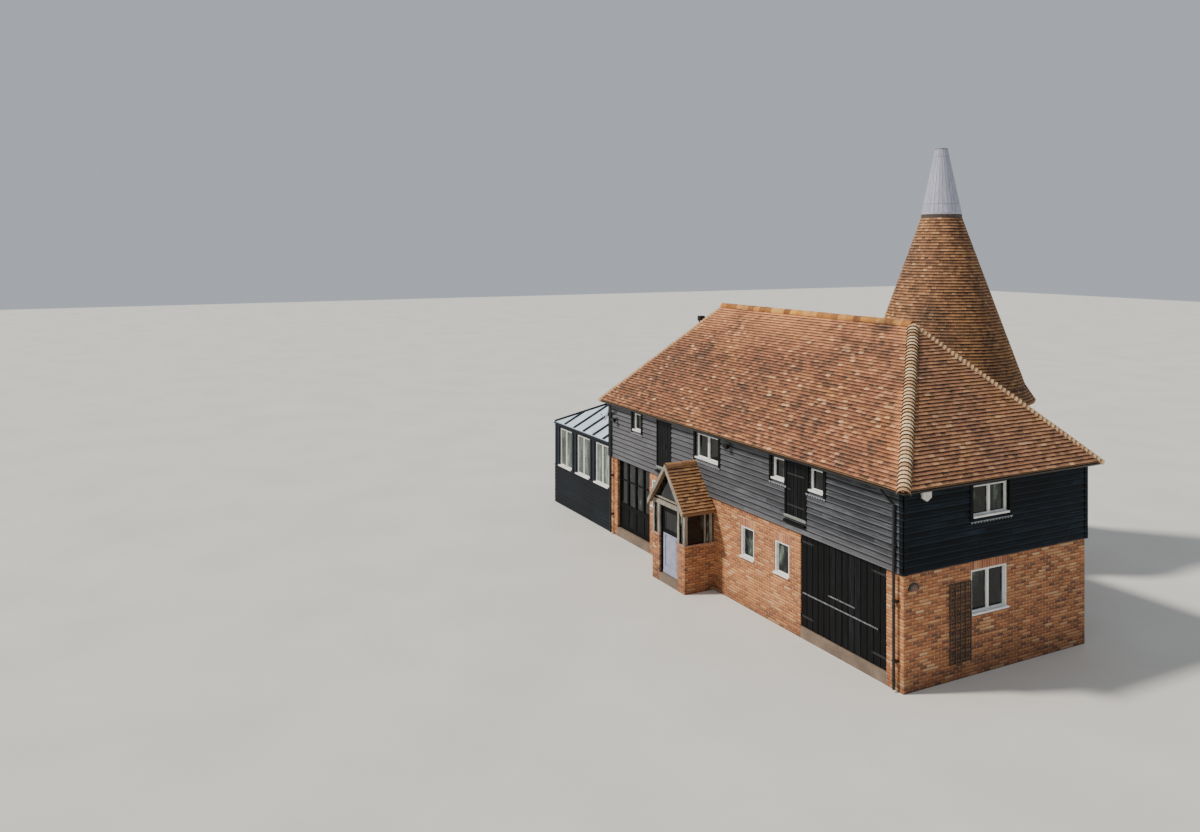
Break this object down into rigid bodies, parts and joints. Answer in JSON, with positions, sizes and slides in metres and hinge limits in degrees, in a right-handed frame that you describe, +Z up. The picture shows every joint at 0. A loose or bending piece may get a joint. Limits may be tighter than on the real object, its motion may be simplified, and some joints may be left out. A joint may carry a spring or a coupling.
{
  "type": "oast house",
  "caption": "Long brick and weatherboard hop barn with a hipped tiled roof, a round kiln with a cone roof and turning cowl, a gabled porch, cart doors and a glazed garden room.",
  "frame": {"origin": "middle of the main block's footprint, on the level of its base", "axes": "+X along the front towards the plain brick end, the front faces -Y and the round kiln stands on the +Y side, +Z up"},
  "size_m": [18.9319, 12.548, 13.177],
  "materials": {
    "brick": "weathered orange-red stock brick with pale mortar",
    "concrete": "floated concrete",
    "floor_wood": "plain floor boards",
    "tarred_boards": "tarred feather-edge boards, matte",
    "roof_tiles": "clay peg tiles, mixed orange, red and brown",
    "ridge_tiles": "pale clay ridge and bonnet tiles bedded in mortar",
    "black_metal": "satin black paint",
    "white_paint": "white gloss paint",
    "clear_glass": "clear window glass",
    "black_planks": "black painted planks",
    "cream_paint": "cream paint",
    "lavender_paint": "lavender-grey paint",
    "coping": "weathered clay and mortar coping",
    "slate_blue_paint": "dark blue-grey paint",
    "cowl_paint": "weathered white paint",
    "lead": "dull grey lead and iron",
    "dish_grey": "dull grey enamel",
    "alarm_white": "white moulding, slightly aged",
    "plain_wood": "bare weathered laths"
  },
  "bodies": {
    "building": {"ground_slab": "concrete", "front_pier_left": "brick", "front_wall_left": "brick", "front_door_lintel": "brick", "front_wall_middle": "brick", "front_pier_right": "brick", "near_end_wall": "brick", "back_wall": "brick", "far_end_wall": "brick", "upper_floors": "floor_wood", "upper_front_wall": "tarred_boards", "upper_near_end_wall": "tarred_boards", "upper_back_wall": "tarred_boards", "upper_far_end_wall": "tarred_boards", "main_roof": "roof_tiles", "ridge_and_hip_tiles": "ridge_tiles", "gutters": "black_metal", "downpipes": "black_metal", "lower_window_frames": "white_paint", "upper_window_frames": "white_paint", "window_glass": "clear_glass", "loft_doors": "black_planks", "cart_hinge_pins": "black_metal", "front_door_frame": "cream_paint", "bay_screen": "black_planks", "bay_glass": "clear_glass", "porch_walls": "brick", "porch_coping": "coping", "porch_frame": "cream_paint", "porch_roof": "roof_tiles", "garden_plinth": "tarred_boards", "garden_frame": "slate_blue_paint", "garden_windows": "white_paint", "garden_glass": "clear_glass", "garden_rafters": "slate_blue_paint", "garden_roof_glass": "clear_glass", "roundel_wall_1": "brick", "roundel_wall_2": "brick", "roundel_wall_3": "brick", "roundel_wall_4": "brick", "roundel_roof": "roof_tiles", "cowl_seat": "lead", "stove_flue": "black_metal", "satellite_dish": "dish_grey", "alarm_box": "alarm_white", "wall_plate": "lead", "trellis": "plain_wood"},
    "cart_door_left": {"cart_door_left": "black_planks"},
    "cart_door_right": {"cart_door_right": "black_planks"},
    "front_door": {"front_door": "lavender_paint", "front_door_glass": "clear_glass"},
    "cowl": {"cowl": "cowl_paint"}
  },
  "joints": [
    {"name": "cart_door_left_hinge", "type": "hinge", "parent": "building", "child": "cart_door_left", "pos_m": [3.387, -3.049, 1.5], "axis": [0, 0, -1], "range_deg": [0, 105]},
    {"name": "cart_door_right_hinge", "type": "hinge", "parent": "building", "child": "cart_door_right", "pos_m": [6.403, -3.049, 1.5], "axis": [0, 0, 1], "range_deg": [0, 105]},
    {"name": "front_door_hinge", "type": "hinge", "parent": "building", "child": "front_door", "pos_m": [-1.886, -3.897, 1.25], "axis": [0, 0, 1], "range_deg": [0, 75]},
    {"name": "cowl_turn", "type": "hinge", "parent": "building", "child": "cowl", "pos_m": [-0.09, 5.55, 11], "axis": [0, 0, 1], "continuous": true}
  ]
}
